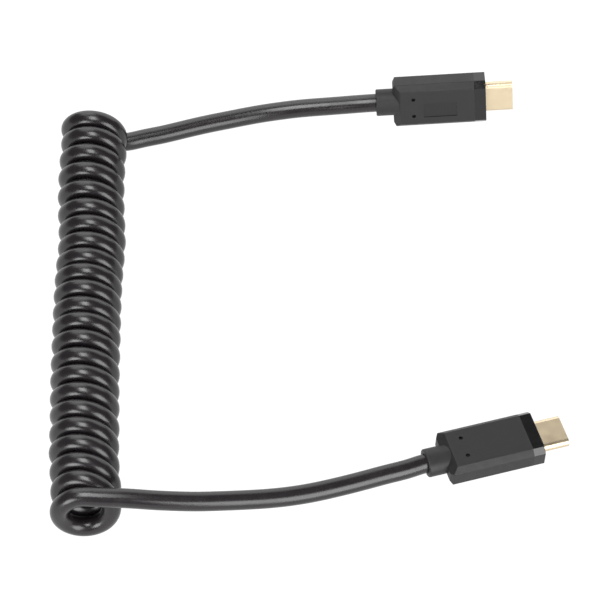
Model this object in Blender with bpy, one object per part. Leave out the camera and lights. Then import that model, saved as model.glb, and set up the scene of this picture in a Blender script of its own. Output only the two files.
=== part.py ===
"""Coiled charging cable with a reversible plug on each end, lying on a table.

The closely wound coil lies on its side along Y. One tail leaves the underside of its
far end, the other leaves the top of its near end, and both run right to their plugs.
Metres, +Z up. The table is z = 0, and the origin is under the middle of the cable.
"""

import math

import bmesh
import bpy
from mathutils import Euler, Vector

MM = 0.001
ORIGIN_SHIFT = Vector((-1.62 * MM, 2.65 * MM, 0.0))

# Cord
CORD_DIAMETER = 4.5 * MM
CORD_RADIUS = CORD_DIAMETER / 2
CORD_SIDES_RESOLUTION = 2
CORD_POINT_SPACING = 2 * CORD_DIAMETER
CORD_END_GAP = 0.3 * MM
CORD_TABLE_GAP = 0.05 * MM
ROUTE_STEPS = 40
LENGTH_TOLERANCE = 1e-6 * MM

# Coil, the fat tube that the wound turns fill
COIL_OUTER_RADIUS = 8.1 * MM
COIL_BORE_RADIUS = COIL_OUTER_RADIUS - 2 * CORD_RADIUS
COIL_LIFT = 0.02 * MM
COIL_AXIS_Z = COIL_OUTER_RADIUS + COIL_LIFT
COIL_TOP_STRAND_Z = COIL_AXIS_Z + COIL_OUTER_RADIUS - CORD_RADIUS
COIL_SIDES = 40
COIL_LIP_STEPS = 4
COIL_NEAR_END_Y = -62.3 * MM
COIL_WOUND_LENGTH = 106.9 * MM
COIL_FAR_END_Y = COIL_NEAR_END_Y + COIL_WOUND_LENGTH
# Where the coil's slightly crooked axis lies at each share of the wound length
COIL_AXIS_SHARES = [0.0, 0.134, 0.302, 0.471, 0.639, 0.789, 0.92, 1.0]
COIL_AXIS_X = [
    -48.8 * MM,
    -49.6 * MM,
    -50.1 * MM,
    -50.4 * MM,
    -50.2 * MM,
    -50.6 * MM,
    -50.7 * MM,
    -50.9 * MM,
]
NEAR_END_LEAN = 0.07
FAR_END_LEAN = -0.16

# Plug housing, with x along the plug from the back face to the tip
HOUSING_LENGTH = 22.3 * MM
HOUSING_HALF_WIDTH = 6.2 * MM
HOUSING_HALF_HEIGHT = 3.2 * MM
BROAD_FACE_HALF_WIDTH = 4.2 * MM
SIDE_HALF_HEIGHT = 1.85 * MM
BACK_SLOPE_LENGTH = 1.2 * MM
BACK_HALF_HEIGHT = 1.9 * MM
BULGE_LENGTH = 0.6 * MM
BULGE_HALF_WIDTH = 4.0 * MM
BULGE_HALF_HEIGHT = 1.3 * MM
BULGE_CORNER = 0.5 * MM
HOUSING_EDGE = 0.2 * MM
COLLAR_HALF_WIDTH = 3.5 * MM
COLLAR_HALF_HEIGHT = 2.95 * MM
COLLAR_LENGTH = 4.85 * MM
COLLAR_OVERLAP = 0.95 * MM
COLLAR_EDGE = 0.35 * MM
COLLAR_SIDES = 32
PIN_HOLE_RADIUS = 0.5 * MM
PIN_HOLE_DEPTH = 0.7 * MM
PIN_HOLE_X = 4.4 * MM
PIN_HOLE_Y = 2.5 * MM
PIN_HOLE_SIDES = 16
LABEL_START_X = 6.9 * MM
LABEL_LENGTH = 8.2 * MM
LABEL_HALF_WIDTH = 2.1 * MM
LABEL_CENTRE_Y = -0.9 * MM
LABEL_DEPTH = 0.15 * MM

# Metal shell of the plug and the insulator inside it
SHELL_HALF_WIDTH = 4.125 * MM
SHELL_HALF_HEIGHT = 1.2 * MM
SHELL_WALL = 0.25 * MM
SHELL_EXPOSED = 6.7 * MM
SHELL_SEAT_DEPTH = 2.0 * MM
SHELL_SEAT_GAP = 0.1 * MM
SHELL_END_SIDES = 10
INSULATOR_GAP = 0.05 * MM
INSULATOR_SETBACK = 0.3 * MM
SLOT_HALF_WIDTH = 3.345 * MM
SLOT_HALF_HEIGHT = 0.55 * MM
SLOT_DEPTH = 5.6 * MM

# Where the plugs lie: back-face centre, then turn about Z, nose-up tilt and roll
NEAR_PLUG_AT = Vector((33.3 * MM, COIL_NEAR_END_Y + 15.65 * MM, 4.95 * MM))
NEAR_PLUG_TURN = math.radians(17.0)
NEAR_PLUG_NOSE_UP = math.radians(-3.5)
NEAR_PLUG_ROLL = math.radians(-4.0)
FAR_PLUG_AT = Vector((23.55 * MM, COIL_FAR_END_Y + 9.95 * MM, 6.55 * MM))
FAR_PLUG_TURN = math.radians(1.8)
FAR_PLUG_NOSE_UP = math.radians(3.1)
FAR_PLUG_ROLL = math.radians(72.7)

# Routes of the two tails, from the coil's flank on; each ends at its plug's collar
CORD_ON_TABLE_Z = CORD_RADIUS + CORD_TABLE_GAP
FAR_TAIL_INSET = 0.4 * MM
FAR_TAIL_START_X = COIL_AXIS_X[-1] + COIL_OUTER_RADIUS - FAR_TAIL_INSET
FAR_TAIL_ROUTE = [
    (FAR_TAIL_START_X, COIL_FAR_END_Y + 0.7 * MM, CORD_ON_TABLE_Z),
    (-39.2 * MM, COIL_FAR_END_Y + 1.7 * MM, CORD_ON_TABLE_Z),
    (-35.2 * MM, COIL_FAR_END_Y + 2.7 * MM, CORD_ON_TABLE_Z),
    (-29.3 * MM, COIL_FAR_END_Y + 4.4 * MM, CORD_ON_TABLE_Z),
    (-23.4 * MM, COIL_FAR_END_Y + 6.1 * MM, CORD_ON_TABLE_Z),
    (-17.4 * MM, COIL_FAR_END_Y + 7.6 * MM, CORD_ON_TABLE_Z),
    (-11.5 * MM, COIL_FAR_END_Y + 8.9 * MM, CORD_ON_TABLE_Z + 0.15 * MM),
    (-5.5 * MM, COIL_FAR_END_Y + 9.8 * MM, CORD_ON_TABLE_Z + 0.5 * MM),
    (0.5 * MM, COIL_FAR_END_Y + 10.2 * MM, CORD_ON_TABLE_Z + 1.15 * MM),
    (6.5 * MM, COIL_FAR_END_Y + 10.15 * MM, CORD_ON_TABLE_Z + 2.0 * MM),
    (12.4 * MM, COIL_FAR_END_Y + 9.9 * MM, CORD_ON_TABLE_Z + 3.1 * MM),
]
NEAR_TAIL_INSET = 0.3 * MM
NEAR_TAIL_START_X = COIL_AXIS_X[0] + COIL_OUTER_RADIUS - NEAR_TAIL_INSET
NEAR_TAIL_PLAN = [
    (NEAR_TAIL_START_X, COIL_NEAR_END_Y + 0.5 * MM),
    (-38.0 * MM, COIL_NEAR_END_Y + 0.5 * MM),
    (-34.2 * MM, COIL_NEAR_END_Y + 0.5 * MM),
    (-28.9 * MM, COIL_NEAR_END_Y + 0.7 * MM),
    (-23.5 * MM, COIL_NEAR_END_Y + 1.1 * MM),
    (-18.1 * MM, COIL_NEAR_END_Y + 1.75 * MM),
    (-12.7 * MM, COIL_NEAR_END_Y + 2.5 * MM),
    (-7.3 * MM, COIL_NEAR_END_Y + 3.3 * MM),
    (-1.8 * MM, COIL_NEAR_END_Y + 4.35 * MM),
    (3.6 * MM, COIL_NEAR_END_Y + 5.75 * MM),
    (9.1 * MM, COIL_NEAR_END_Y + 7.45 * MM),
    (14.6 * MM, COIL_NEAR_END_Y + 9.3 * MM),
    (20.2 * MM, COIL_NEAR_END_Y + 11.2 * MM),
    (25.0 * MM, COIL_NEAR_END_Y + 12.8 * MM),
]
# Height of each of those points, as a share of the way up from the collar to the strand
# on top of the coil
NEAR_TAIL_CLIMB = [
    0.959, 0.921, 0.861, 0.756, 0.647, 0.543, 0.444, 0.356, 0.279, 0.213, 0.153, 0.104, 0.065, 0.027,
]

# Finishes: colour, metallic, roughness
CORD_FINISH = ((0.022, 0.02, 0.022, 1.0), 0.0, 0.3)
HOUSING_FINISH = ((0.055, 0.055, 0.058, 1.0), 0.0, 0.55)
SHELL_FINISH = ((0.83, 0.68, 0.45, 1.0), 1.0, 0.22)
INSULATOR_FINISH = ((0.012, 0.012, 0.012, 1.0), 0.0, 0.5)

CIRCLE = 2 * math.pi
SHARP_ANGLE = math.radians(30.0)
BEVEL_ANGLE = math.radians(20.0)
BEVEL_SEGMENTS = 2


def clear_scene():
    """Remove every object that the scene holds."""
    for item in list(bpy.data.objects):
        bpy.data.objects.remove(item, do_unlink=True)


def make_material(name, finish):
    """Make a Principled material from a colour, a metallic value and a roughness."""
    colour, metallic, roughness = finish
    material = bpy.data.materials.new(name)
    material.use_nodes = True
    shader = material.node_tree.nodes["Principled BSDF"]
    shader.inputs["Base Color"].default_value = colour
    shader.inputs["Metallic"].default_value = metallic
    shader.inputs["Roughness"].default_value = roughness
    return material


def add_mesh_object(name, mesh_data, material, parent=None):
    """Put a bmesh in the scene as a named object, under its parent."""
    bmesh.ops.recalc_face_normals(mesh_data, faces=mesh_data.faces)
    mesh = bpy.data.meshes.new(name)
    mesh_data.to_mesh(mesh)
    mesh_data.free()
    mesh.shade_smooth()
    mesh.set_sharp_from_angle(angle=SHARP_ANGLE)
    item = bpy.data.objects.new(name, mesh)
    item.data.materials.append(material)
    item.parent = parent
    bpy.context.scene.collection.objects.link(item)
    return item


def smooth_point(before, start, end, after, share):
    """Read a point of the smooth curve between start and end."""
    square = share * share
    cube = square * share
    return 0.5 * (
        2 * start
        + (end - before) * share
        + (2 * before - 5 * start + 4 * end - after) * square
        + (3 * start - before - 3 * end + after) * cube
    )


def smooth_route(route, spacing):
    """Read evenly spaced points from a smooth curve through the route."""
    knots = [Vector(point) for point in route]
    padded = [2 * knots[0] - knots[1]] + knots + [2 * knots[-1] - knots[-2]]
    fine = []
    for index in range(1, len(padded) - 2):
        four = padded[index - 1:index + 3]
        fine += [smooth_point(*four, step / ROUTE_STEPS) for step in range(ROUTE_STEPS)]
    fine.append(knots[-1])
    lengths = [0.0]
    for start, end in zip(fine, fine[1:]):
        lengths.append(lengths[-1] + (end - start).length)
    spans = max(2, round(lengths[-1] / spacing))
    points = []
    for number in range(spans + 1):
        wanted = lengths[-1] * number / spans
        reached = wanted - LENGTH_TOLERANCE
        index = next(i for i, length in enumerate(lengths) if length >= reached)
        points.append(fine[index])
    return points


def add_cord(name, route, material):
    """Lay a plain round cord along a route."""
    points = smooth_route(route, CORD_POINT_SPACING)
    curve = bpy.data.curves.new(name, "CURVE")
    curve.dimensions = "3D"
    curve.bevel_depth = CORD_RADIUS
    curve.bevel_resolution = CORD_SIDES_RESOLUTION
    curve.use_fill_caps = True
    spline = curve.splines.new("POLY")
    spline.points.add(len(points) - 1)
    for slot, point in zip(spline.points, points):
        slot.co = (*(point + ORIGIN_SHIFT), 1.0)
    curve.materials.append(material)
    item = bpy.data.objects.new(name, curve)
    bpy.context.scene.collection.objects.link(item)
    return item


def bridge_rings(mesh_data, first, second):
    """Join two rings of as many vertices with quads."""
    count = len(first)
    for index in range(count):
        following = (index + 1) % count
        mesh_data.faces.new((first[index], first[following], second[following], second[index]))


def coil_stations():
    """List each station of the coil: its centre, its lean and its outer and bore radius.

    The ends are round lips as thick as the cord, as the last turns are.
    """
    wall_middle = (COIL_OUTER_RADIUS + COIL_BORE_RADIUS) / 2
    knots = []
    for x, share in zip(COIL_AXIS_X, COIL_AXIS_SHARES):
        knots.append(Vector((x, COIL_NEAR_END_Y + COIL_WOUND_LENGTH * share, COIL_AXIS_Z)))
    stations = []
    count = len(knots)
    for index, centre in enumerate(knots):
        share = index / (count - 1)
        lean = NEAR_END_LEAN * (1 - share) + FAR_END_LEAN * share
        stations.append((centre, lean, CORD_RADIUS))
    near_lip = []
    far_lip = []
    for step in range(1, COIL_LIP_STEPS):
        angle = math.pi / 2 * step / COIL_LIP_STEPS
        reach = CORD_RADIUS * math.sin(angle)
        half_wall = CORD_RADIUS * math.cos(angle)
        near_lip.insert(0, (knots[0] - Vector((0, reach, 0)), NEAR_END_LEAN, half_wall))
        far_lip.append((knots[-1] + Vector((0, reach, 0)), FAR_END_LEAN, half_wall))
    return [
        (centre, lean, wall_middle + half_wall, wall_middle - half_wall)
        for centre, lean, half_wall in near_lip + stations + far_lip
    ]


def coil_ring(mesh_data, centre, lean, radius):
    """Make one ring of the coil, leaning along Y with height."""
    ring = []
    for index in range(COIL_SIDES):
        angle = CIRCLE * (index + 0.5) / COIL_SIDES
        across = radius * math.cos(angle)
        height = radius * math.sin(angle)
        place = centre + Vector((across, lean * height, height)) + ORIGIN_SHIFT
        ring.append(mesh_data.verts.new(place))
    return ring


def add_coil(material):
    """Make the coil as one turned tube of its outer diameter, with its bore."""
    mesh_data = bmesh.new()
    outer = []
    inner = []
    for centre, lean, outer_radius, bore_radius in coil_stations():
        outer.append(coil_ring(mesh_data, centre, lean, outer_radius))
        inner.append(coil_ring(mesh_data, centre, lean, bore_radius))
    for rings in (outer, inner):
        for first, second in zip(rings, rings[1:]):
            bridge_rings(mesh_data, first, second)
    bridge_rings(mesh_data, outer[0], inner[0])
    bridge_rings(mesh_data, outer[-1], inner[-1])
    return add_mesh_object("coil", mesh_data, material)


def housing_section(half_width, flat_half_width, half_height, side_half_height):
    """List the eight corners of the housing's section, once round."""
    quarter = [(half_width, side_half_height), (flat_half_width, half_height)]
    upper = quarter + [(-y, z) for y, z in reversed(quarter)]
    return upper + [(-y, -z) for y, z in upper]


def add_prism(mesh_data, sections):
    """Loft a closed solid through sections, each an x and a list of (y, z)."""
    rings = [
        [mesh_data.verts.new((x, y, z)) for y, z in outline]
        for x, outline in sections
    ]
    for first, second in zip(rings, rings[1:]):
        bridge_rings(mesh_data, first, second)
    mesh_data.faces.new(rings[0])
    mesh_data.faces.new(rings[-1])


def round_outline(half_width, half_height):
    """List the points of a slot-shaped outline, flat on top and round at the sides."""
    radius = half_height
    reach = half_width - radius
    outline = []
    for side in (1, -1):
        for step in range(SHELL_END_SIDES + 1):
            angle = math.pi * step / SHELL_END_SIDES - math.pi / 2
            y = side * (reach + radius * math.cos(angle))
            z = side * radius * math.sin(angle)
            outline.append((y, z))
    return outline


def box_outline(centre_y, half_width, low_z, high_z):
    """List the four corners of a rectangle in the section plane."""
    return [
        (centre_y + half_width, low_z),
        (centre_y + half_width, high_z),
        (centre_y - half_width, high_z),
        (centre_y - half_width, low_z),
    ]


def add_cutter(name, mesh_data, parent):
    """Make a hidden solid that cuts or joins another one."""
    bmesh.ops.recalc_face_normals(mesh_data, faces=mesh_data.faces)
    mesh = bpy.data.meshes.new(name)
    mesh_data.to_mesh(mesh)
    mesh_data.free()
    cutter = bpy.data.objects.new(name, mesh)
    cutter.parent = parent
    cutter.hide_render = True
    cutter.display_type = "WIRE"
    bpy.context.scene.collection.objects.link(cutter)
    return cutter


def add_boolean(item, cutter, operation):
    """Cut a hidden solid from an object, or join it."""
    modifier = item.modifiers.new(cutter.name, "BOOLEAN")
    modifier.operation = operation
    modifier.solver = "EXACT"
    modifier.object = cutter


def add_bevel(item, width):
    """Round off the sharp edges of an object."""
    modifier = item.modifiers.new("edge", "BEVEL")
    modifier.width = width
    modifier.segments = BEVEL_SEGMENTS
    modifier.limit_method = "ANGLE"
    modifier.angle_limit = BEVEL_ANGLE


def collar_cutter(name, parent):
    """Make the oval collar that grips the cord, with a softened end."""
    mesh_data = bmesh.new()
    profile = [
        (-COLLAR_LENGTH, COLLAR_EDGE),
        (-COLLAR_LENGTH + COLLAR_EDGE, 0.0),
        (COLLAR_OVERLAP, 0.0),
    ]
    sections = []
    angles = [CIRCLE * index / COLLAR_SIDES for index in range(COLLAR_SIDES)]
    for x, inset in profile:
        width = COLLAR_HALF_WIDTH - inset
        height = COLLAR_HALF_HEIGHT - inset
        ring = [(width * math.cos(angle), height * math.sin(angle)) for angle in angles]
        sections.append((x, ring))
    add_prism(mesh_data, sections)
    return add_cutter(name, mesh_data, parent)


def pin_hole_cutter(name, parent):
    """Make the four small round holes: two on each broad face."""
    mesh_data = bmesh.new()
    depth = PIN_HOLE_DEPTH * 2
    for side in (1, -1):
        for y in (PIN_HOLE_Y, -PIN_HOLE_Y):
            made = bmesh.ops.create_cone(
                mesh_data,
                cap_ends=True,
                segments=PIN_HOLE_SIDES,
                radius1=PIN_HOLE_RADIUS,
                radius2=PIN_HOLE_RADIUS,
                depth=depth,
            )
            place = Vector((PIN_HOLE_X, y, side * HOUSING_HALF_HEIGHT))
            bmesh.ops.translate(mesh_data, verts=made["verts"], vec=place)
    return add_cutter(name, mesh_data, parent)


def label_cutter(name, parent, label_side):
    """Make the shallow rectangular recess on one broad face."""
    mesh_data = bmesh.new()
    floor = HOUSING_HALF_HEIGHT - LABEL_DEPTH
    above = HOUSING_HALF_HEIGHT + LABEL_DEPTH
    outline = box_outline(LABEL_CENTRE_Y, LABEL_HALF_WIDTH, floor * label_side, above * label_side)
    add_prism(mesh_data, [(LABEL_START_X, outline), (LABEL_START_X + LABEL_LENGTH, outline)])
    return add_cutter(name, mesh_data, parent)


def seat_cutter(name, parent):
    """Make the pocket in the front face that the metal shell stands in."""
    mesh_data = bmesh.new()
    outline = round_outline(SHELL_HALF_WIDTH + SHELL_SEAT_GAP, SHELL_HALF_HEIGHT + SHELL_SEAT_GAP)
    floor = HOUSING_LENGTH - SHELL_SEAT_DEPTH - SHELL_SEAT_GAP
    add_prism(mesh_data, [(floor, outline), (HOUSING_LENGTH + SHELL_SEAT_DEPTH, outline)])
    return add_cutter(name, mesh_data, parent)


def add_housing(prefix, plug, material, label_side):
    """Make the moulded housing of a plug with its collar."""
    mesh_data = bmesh.new()
    widths = (HOUSING_HALF_WIDTH, BROAD_FACE_HALF_WIDTH)
    bulge = housing_section(
        BULGE_HALF_WIDTH,
        BULGE_HALF_WIDTH - BULGE_CORNER,
        BULGE_HALF_HEIGHT,
        BULGE_HALF_HEIGHT - BULGE_CORNER,
    )
    back = housing_section(*widths, BACK_HALF_HEIGHT + HOUSING_EDGE / 2, BACK_HALF_HEIGHT)
    full = housing_section(*widths, HOUSING_HALF_HEIGHT, SIDE_HALF_HEIGHT)
    sections = [(-BULGE_LENGTH, bulge), (0.0, back), (BACK_SLOPE_LENGTH, full)]
    add_prism(mesh_data, sections + [(HOUSING_LENGTH, full)])
    housing = add_mesh_object(prefix + "_housing", mesh_data, material, plug)
    add_bevel(housing, HOUSING_EDGE)
    add_boolean(housing, collar_cutter(prefix + "_collar_form", plug), "UNION")
    add_boolean(housing, pin_hole_cutter(prefix + "_hole_cutter", plug), "DIFFERENCE")
    add_boolean(housing, label_cutter(prefix + "_label_cutter", plug, label_side), "DIFFERENCE")
    add_boolean(housing, seat_cutter(prefix + "_seat_cutter", plug), "DIFFERENCE")
    return housing


def add_shell(prefix, plug, material):
    """Make the hollow metal shell that goes into a socket."""
    mesh_data = bmesh.new()
    start = HOUSING_LENGTH - SHELL_SEAT_DEPTH
    end = HOUSING_LENGTH + SHELL_EXPOSED
    rings = []
    for wall in (0.0, SHELL_WALL):
        outline = round_outline(SHELL_HALF_WIDTH - wall, SHELL_HALF_HEIGHT - wall)
        pair = [[mesh_data.verts.new((x, y, z)) for y, z in outline] for x in (start, end)]
        bridge_rings(mesh_data, pair[0], pair[1])
        rings.append(pair)
    for end_index in (0, 1):
        bridge_rings(mesh_data, rings[0][end_index], rings[1][end_index])
    return add_mesh_object(prefix + "_shell", mesh_data, material, plug)


def add_insulator(prefix, plug, material):
    """Make the black insulator inside the shell, with the slot for the socket's tongue."""
    mesh_data = bmesh.new()
    inset = SHELL_WALL + INSULATOR_GAP
    outline = round_outline(SHELL_HALF_WIDTH - inset, SHELL_HALF_HEIGHT - inset)
    start = HOUSING_LENGTH - SHELL_SEAT_DEPTH
    end = HOUSING_LENGTH + SHELL_EXPOSED - INSULATOR_SETBACK
    add_prism(mesh_data, [(start, outline), (end, outline)])
    insulator = add_mesh_object(prefix + "_insulator", mesh_data, material, plug)
    slot = bmesh.new()
    slot_outline = box_outline(0.0, SLOT_HALF_WIDTH, -SLOT_HALF_HEIGHT, SLOT_HALF_HEIGHT)
    add_prism(slot, [(end - SLOT_DEPTH, slot_outline), (end + SLOT_DEPTH, slot_outline)])
    add_boolean(insulator, add_cutter(prefix + "_slot_cutter", slot, plug), "DIFFERENCE")
    return insulator


def collar_end(place, turn, nose_up):
    """Find where a tail ends, just short of its plug's collar."""
    along = Euler((0.0, -nose_up, turn), "XYZ").to_matrix() @ Vector((1.0, 0.0, 0.0))
    return place - (COLLAR_LENGTH + CORD_END_GAP) * along


def near_tail_route(end):
    """Place the near tail between its collar's end and the strand on top of the coil."""
    climb = COIL_TOP_STRAND_Z - end.z
    route = []
    for (x, y), share in zip(NEAR_TAIL_PLAN, NEAR_TAIL_CLIMB):
        route.append((x, y, end.z + share * climb))
    return route + [end]


def add_plug(prefix, place, turn, nose_up, roll, label_side, materials):
    """Make one plug, on an empty at the centre of its back face."""
    plug = bpy.data.objects.new(prefix + "_plug", None)
    plug.location = place + ORIGIN_SHIFT
    plug.rotation_euler = Euler((roll, -nose_up, turn), "XYZ")
    bpy.context.scene.collection.objects.link(plug)
    housing_material, shell_material, insulator_material = materials
    add_housing(prefix, plug, housing_material, label_side)
    add_shell(prefix, plug, shell_material)
    add_insulator(prefix, plug, insulator_material)


def main():
    """Build the cable."""
    clear_scene()
    cord = make_material("cord_jacket", CORD_FINISH)
    materials = (
        make_material("plug_housing", HOUSING_FINISH),
        make_material("plug_shell", SHELL_FINISH),
        make_material("plug_insulator", INSULATOR_FINISH),
    )
    add_coil(cord)
    far_end = collar_end(FAR_PLUG_AT, FAR_PLUG_TURN, FAR_PLUG_NOSE_UP)
    near_end = collar_end(NEAR_PLUG_AT, NEAR_PLUG_TURN, NEAR_PLUG_NOSE_UP)
    add_cord("far_tail", FAR_TAIL_ROUTE + [far_end], cord)
    add_cord("near_tail", near_tail_route(near_end), cord)
    add_plug("far", FAR_PLUG_AT, FAR_PLUG_TURN, FAR_PLUG_NOSE_UP, FAR_PLUG_ROLL, 1, materials)
    add_plug("near", NEAR_PLUG_AT, NEAR_PLUG_TURN, NEAR_PLUG_NOSE_UP, NEAR_PLUG_ROLL, -1, materials)


main()
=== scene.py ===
"""Looks of the coiled charging cable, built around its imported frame.

One glossy cord runs from the near plug up to the top of the coil, round its left-handed
turns and from the underside of the far end to the far plug. Each plug is a moulded
housing with a polished front band, a gold-plated shell and an insulator with contacts.
Shapes are written in millimetres and turned to metres as each piece is finished.
"""

import logging
import math
from contextlib import contextmanager
from dataclasses import dataclass, field
from enum import Enum, IntEnum
from typing import Callable, Iterator, Sequence

import bmesh
import bpy
import numpy as np
from bpy.types import Material, NodeSocket, NodeTree, Object
from mathutils import Euler, Matrix, Vector


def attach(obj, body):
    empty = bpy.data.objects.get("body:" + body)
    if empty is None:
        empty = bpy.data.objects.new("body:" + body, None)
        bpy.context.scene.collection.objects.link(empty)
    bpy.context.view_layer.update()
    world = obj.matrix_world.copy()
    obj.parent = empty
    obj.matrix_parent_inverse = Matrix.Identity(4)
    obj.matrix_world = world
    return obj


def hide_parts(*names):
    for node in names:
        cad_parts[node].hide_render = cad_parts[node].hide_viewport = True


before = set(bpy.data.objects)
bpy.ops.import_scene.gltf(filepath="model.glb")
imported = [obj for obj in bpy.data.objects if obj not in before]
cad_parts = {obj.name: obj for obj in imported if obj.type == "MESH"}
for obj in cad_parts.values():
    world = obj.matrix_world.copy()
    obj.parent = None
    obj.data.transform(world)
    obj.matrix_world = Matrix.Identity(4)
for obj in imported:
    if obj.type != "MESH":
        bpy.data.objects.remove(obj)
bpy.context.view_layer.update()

Point = tuple[float, float, float]
Colour = tuple[float, float, float]

MM = 0.001
FULL_TURN = 2 * math.pi
BODY = "root"
# The frame's origin is under the middle of the cable, a little off the traced centre.
ORIGIN_SHIFT = Vector((-1.62, 2.65, 0.0))
HOUSING_LENGTH = 22.3
COLLAR_LENGTH = 4.85
SHELL_SEAT = 2.0
SHELL_REACH = 6.7
# Folds between faces: kept in the shading, a square corner, an outer edge, an inner corner
SMOOTH_FOLD = math.radians(32.0)
CAP_FOLD = math.radians(45.0)
SQUARE_FOLD = math.radians(60.0)
OUTER_FOLD = math.radians(15.0)
INNER_FOLD = math.radians(-12.0)
# How far from its own place a test still finds an edge, a rim or an outer skin
EDGE_REACH = 0.01
RIM_REACH = 0.001
SKIN_REACH = 0.02
# An edge that spans more than this from end to end runs along its piece
LONG_EDGE = 0.5
# A face looks forward where its normal's share towards the tip is more than this
FORWARD = 0.9
# A rounding of a whole end stops just short of the middle
WHOLE_ROUND = 0.999
# How far a cutting piece stands out of what it cuts
OVERSHOOT = 1.0
WHITE = (1.0, 1.0, 1.0, 1.0)
# The housing's third material slot
LABEL_SLOT = 2
# The values that a noise seldom leaves, and how finely the patches are broken up
NOISE_RANGE = (0.3, 0.7)
PATCH_DETAIL = 4.0

log = logging.getLogger("coiled_cable")


class Socket(Enum):
    """The shader sockets that the finishes set."""

    COLOUR = "Base Color"
    METALLIC = "Metallic"
    ROUGHNESS = "Roughness"
    IOR = "IOR"
    NORMAL = "Normal"
    GLOW_COLOUR = "Emission Color"
    GLOW = "Emission Strength"


class Strips(IntEnum):
    """How many strips a rounding is made of."""

    LIP = 2
    EDGE = 3
    CORNER = 4
    ROUND_END = 8
    SHELL_END = 10


class Cut(Enum):
    """What becomes of a piece that meets another."""

    TAKEN_OUT = "DIFFERENCE"
    JOINED_ON = "UNION"


class LabelSide(Enum):
    """Which broad face of a plug has the bare label recess."""

    UPPER = 1
    LOWER = -1


# Finishes
@dataclass(frozen=True)
class Grain:
    """A fine unevenness of a surface.

    Attributes:
        size: Width of one grain in millimetres.
        depth: How far the surface rises and falls, in millimetres.
        detail: How much finer grain lies on the grain.
    """

    size: float
    depth: float
    detail: float = 0.0


@dataclass
class Surface:
    """The nodes of one material.

    Attributes:
        tree: The material's node tree.
        place: The coordinates that the noises are read at.
    """

    tree: NodeTree
    place: NodeSocket

    def noise(self, grain: Grain) -> NodeSocket:
        """Add a noise of a grain's size.

        Args:
            grain: The grain.

        Returns:
            The noise's value.
        """
        noise = self.tree.nodes.new("ShaderNodeTexNoise")
        noise.inputs["Scale"].default_value = 1.0 / (grain.size * MM)
        noise.inputs["Detail"].default_value = grain.detail
        self.tree.links.new(self.place, noise.inputs["Vector"])
        return noise.outputs["Fac"]

    def spread(self, patches: NodeSocket, ends: tuple[float, float]) -> NodeSocket:
        """Spread a noise over a range.

        Args:
            patches: The noise.
            ends: The ends of the range.

        Returns:
            The value at each place.
        """
        spread = self.tree.nodes.new("ShaderNodeMapRange")
        values = (*NOISE_RANGE, *ends)
        for name, value in zip(("From Min", "From Max", "To Min", "To Max"), values):
            spread.inputs[name].default_value = value
        self.tree.links.new(patches, spread.inputs["Value"])
        return spread.outputs["Result"]

    def bump(self, grain: Grain, under: NodeSocket | None) -> NodeSocket:
        """Raise and lower the surface by a grain.

        Args:
            grain: The grain.
            under: The normal that the grain lies on, if there is one.

        Returns:
            The new normal.
        """
        bump = self.tree.nodes.new("ShaderNodeBump")
        bump.inputs["Strength"].default_value = 1.0
        bump.inputs["Distance"].default_value = grain.depth * MM
        self.tree.links.new(self.noise(grain), bump.inputs["Height"])
        if under is not None:
            self.tree.links.new(under, bump.inputs["Normal"])
        return bump.outputs["Normal"]


@dataclass(frozen=True)
class Finish:
    """A surface with slight changes of tone and gloss and a fine grain.

    Attributes:
        name: The material's name.
        light: Colour of the lighter places.
        dark: Colour of the darker places.
        gloss: Lowest and highest roughness.
        patch: Width of the places that differ in tone and gloss, in millimetres.
        grain: The fine unevenness of the surface.
        wave: The slow unevenness of the surface.
        metallic: 1 for metal.
        ior: How strongly a plastic surface reflects.
    """

    name: str
    light: Colour
    dark: Colour
    gloss: tuple[float, float]
    patch: float
    grain: Grain
    wave: Grain
    metallic: float = 0.0
    ior: float = 1.5

    def make(self) -> Material:
        """Make the material, or give the one already made."""
        known = bpy.data.materials.get(self.name)
        if known is not None:
            return known
        material = bpy.data.materials.new(self.name)
        material.use_nodes = True
        tree = material.node_tree
        shader = tree.nodes["Principled BSDF"]
        shader.inputs[Socket.METALLIC.value].default_value = self.metallic
        shader.inputs[Socket.IOR.value].default_value = self.ior
        surface = Surface(tree, tree.nodes.new("ShaderNodeTexCoord").outputs["Object"])
        patches = surface.noise(Grain(self.patch, 0.0, PATCH_DETAIL))
        tone = tree.nodes.new("ShaderNodeMix")
        tone.data_type = "RGBA"
        tone.inputs["A"].default_value = (*self.dark, 1.0)
        tone.inputs["B"].default_value = (*self.light, 1.0)
        tree.links.new(patches, tone.inputs["Factor"])
        tree.links.new(tone.outputs["Result"], shader.inputs[Socket.COLOUR.value])
        gloss = surface.spread(patches, self.gloss)
        tree.links.new(gloss, shader.inputs[Socket.ROUGHNESS.value])
        rise = surface.bump(self.grain, surface.bump(self.wave, None))
        tree.links.new(rise, shader.inputs[Socket.NORMAL.value])
        return material


GLOSSY_JACKET = Finish(
    name="glossy_cord_jacket",
    light=(0.0118, 0.0098, 0.0112),
    dark=(0.0084, 0.0068, 0.0079),
    gloss=(0.24, 0.29),
    patch=3.0,
    grain=Grain(0.3, 0.00015, 1.0),
    wave=Grain(3.2, 0.0012),
)
MATTE_HOUSING = Finish(
    name="matte_plug_housing",
    light=(0.0135, 0.0126, 0.0138),
    dark=(0.0095, 0.0088, 0.0097),
    gloss=(0.46, 0.56),
    patch=1.6,
    grain=Grain(0.12, 0.006, 2.0),
    wave=Grain(2.0, 0.006),
    ior=1.42,
)
LABEL_FLOOR = Finish(
    name="smooth_label_recess",
    light=(0.0115, 0.011, 0.0117),
    dark=(0.0085, 0.0081, 0.0087),
    gloss=(0.44, 0.54),
    patch=0.9,
    grain=Grain(0.1, 0.003, 1.0),
    wave=Grain(1.5, 0.003),
    ior=1.4,
)
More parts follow.
